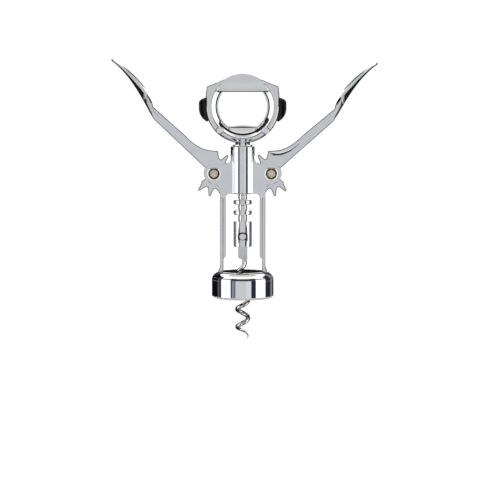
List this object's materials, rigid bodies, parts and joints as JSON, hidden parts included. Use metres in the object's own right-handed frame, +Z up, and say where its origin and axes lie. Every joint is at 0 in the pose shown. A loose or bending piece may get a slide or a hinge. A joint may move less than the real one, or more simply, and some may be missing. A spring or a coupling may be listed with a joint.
{
  "type": "wing corkscrew",
  "caption": "Winged corkscrew: a bell and forked frame, geared wings that lift a ringed rack with its worm, and a round head with a cap lifter and foil cutting jaws.",
  "frame": {"origin": "centre of the bell's bottom rim, on the worm's centre line", "axes": "+Z up along the worm towards the head, +X to the right seen from the front, and the front faces -Y"},
  "size_m": [0.1552, 0.036, 0.1636],
  "materials": {
    "chrome": "polished",
    "satin_chrome": "satin",
    "steel": "bright",
    "brass_pin": "satin",
    "black_plastic": "gloss"
  },
  "bodies": {
    "frame": {"bell": "chrome", "frame": "satin_chrome", "left_pivot_pin": "brass_pin", "right_pivot_pin": "brass_pin"},
    "left_wing": {"left_wing": "satin_chrome"},
    "right_wing": {"right_wing": "satin_chrome"},
    "washer": {"thrust_washer": "steel"},
    "head": {"rack_shaft": "steel", "worm": "steel", "worm_pin": "steel", "head_casting": "satin_chrome", "head_rear_cover": "satin_chrome", "cover_screws": "steel", "cap_lifter": "chrome", "left_jaw_pin": "chrome", "right_jaw_pin": "chrome", "left_jaw_spring": "steel", "right_jaw_spring": "steel"},
    "left_jaw": {"left_jaw": "black_plastic", "left_wheel_axles": "steel"},
    "right_jaw": {"right_jaw": "black_plastic", "right_wheel_axles": "steel"},
    "left_upper_wheel": {"left_upper_wheel": "steel"},
    "left_lower_wheel": {"left_lower_wheel": "steel"},
    "right_upper_wheel": {"right_upper_wheel": "steel"},
    "right_lower_wheel": {"right_lower_wheel": "steel"}
  },
  "joints": [
    {"name": "shaft_slide", "type": "slide", "parent": "frame", "child": "washer", "axis": [0, 0, 1], "range_m": [0, 0.0255]},
    {"name": "head_turn", "type": "hinge", "parent": "washer", "child": "head", "pos_m": [0, 0, 0.0896], "axis": [0, 0, 1], "continuous": true},
    {"name": "left_wing_swing", "type": "hinge", "parent": "frame", "child": "left_wing", "pos_m": [-0.01665, 0, 0.0726], "axis": [0, 1, 0], "range_deg": [-131, 0]},
    {"name": "right_wing_swing", "type": "hinge", "parent": "frame", "child": "right_wing", "pos_m": [0.01665, 0, 0.0726], "axis": [0, 1, 0], "range_deg": [0, 131]},
    {"name": "left_jaw_squeeze", "type": "hinge", "parent": "head", "child": "left_jaw", "pos_m": [-0.0133, 0, 0.0977], "axis": [0, 1, 0], "range_deg": [0, 5], "stiffness_Nm_per_rad": 0.2, "springref_deg": -5.73, "deforming": ["left_jaw_spring"]},
    {"name": "right_jaw_squeeze", "type": "hinge", "parent": "head", "child": "right_jaw", "pos_m": [0.0133, 0, 0.0977], "axis": [0, 1, 0], "range_deg": [-5, 0], "stiffness_Nm_per_rad": 0.2, "springref_deg": 5.73, "deforming": ["right_jaw_spring"]},
    {"name": "left_upper_wheel_spin", "type": "hinge", "parent": "left_jaw", "child": "left_upper_wheel", "pos_m": [-0.01861, 0.0007, 0.11478], "axis": [0, 1, 0], "continuous": true},
    {"name": "left_lower_wheel_spin", "type": "hinge", "parent": "left_jaw", "child": "left_lower_wheel", "pos_m": [-0.01817, 0.0007, 0.10629], "axis": [0, 1, 0], "continuous": true},
    {"name": "right_upper_wheel_spin", "type": "hinge", "parent": "right_jaw", "child": "right_upper_wheel", "pos_m": [0.01861, 0.0007, 0.11478], "axis": [0, 1, 0], "continuous": true},
    {"name": "right_lower_wheel_spin", "type": "hinge", "parent": "right_jaw", "child": "right_lower_wheel", "pos_m": [0.01817, 0.0007, 0.10629], "axis": [0, 1, 0], "continuous": true}
  ],
  "couplings": [
    {"joint": "left_wing_swing", "follows": "shaft_slide", "rad_per_m": -88.99},
    {"joint": "right_wing_swing", "follows": "shaft_slide", "rad_per_m": 88.99}
  ]
}
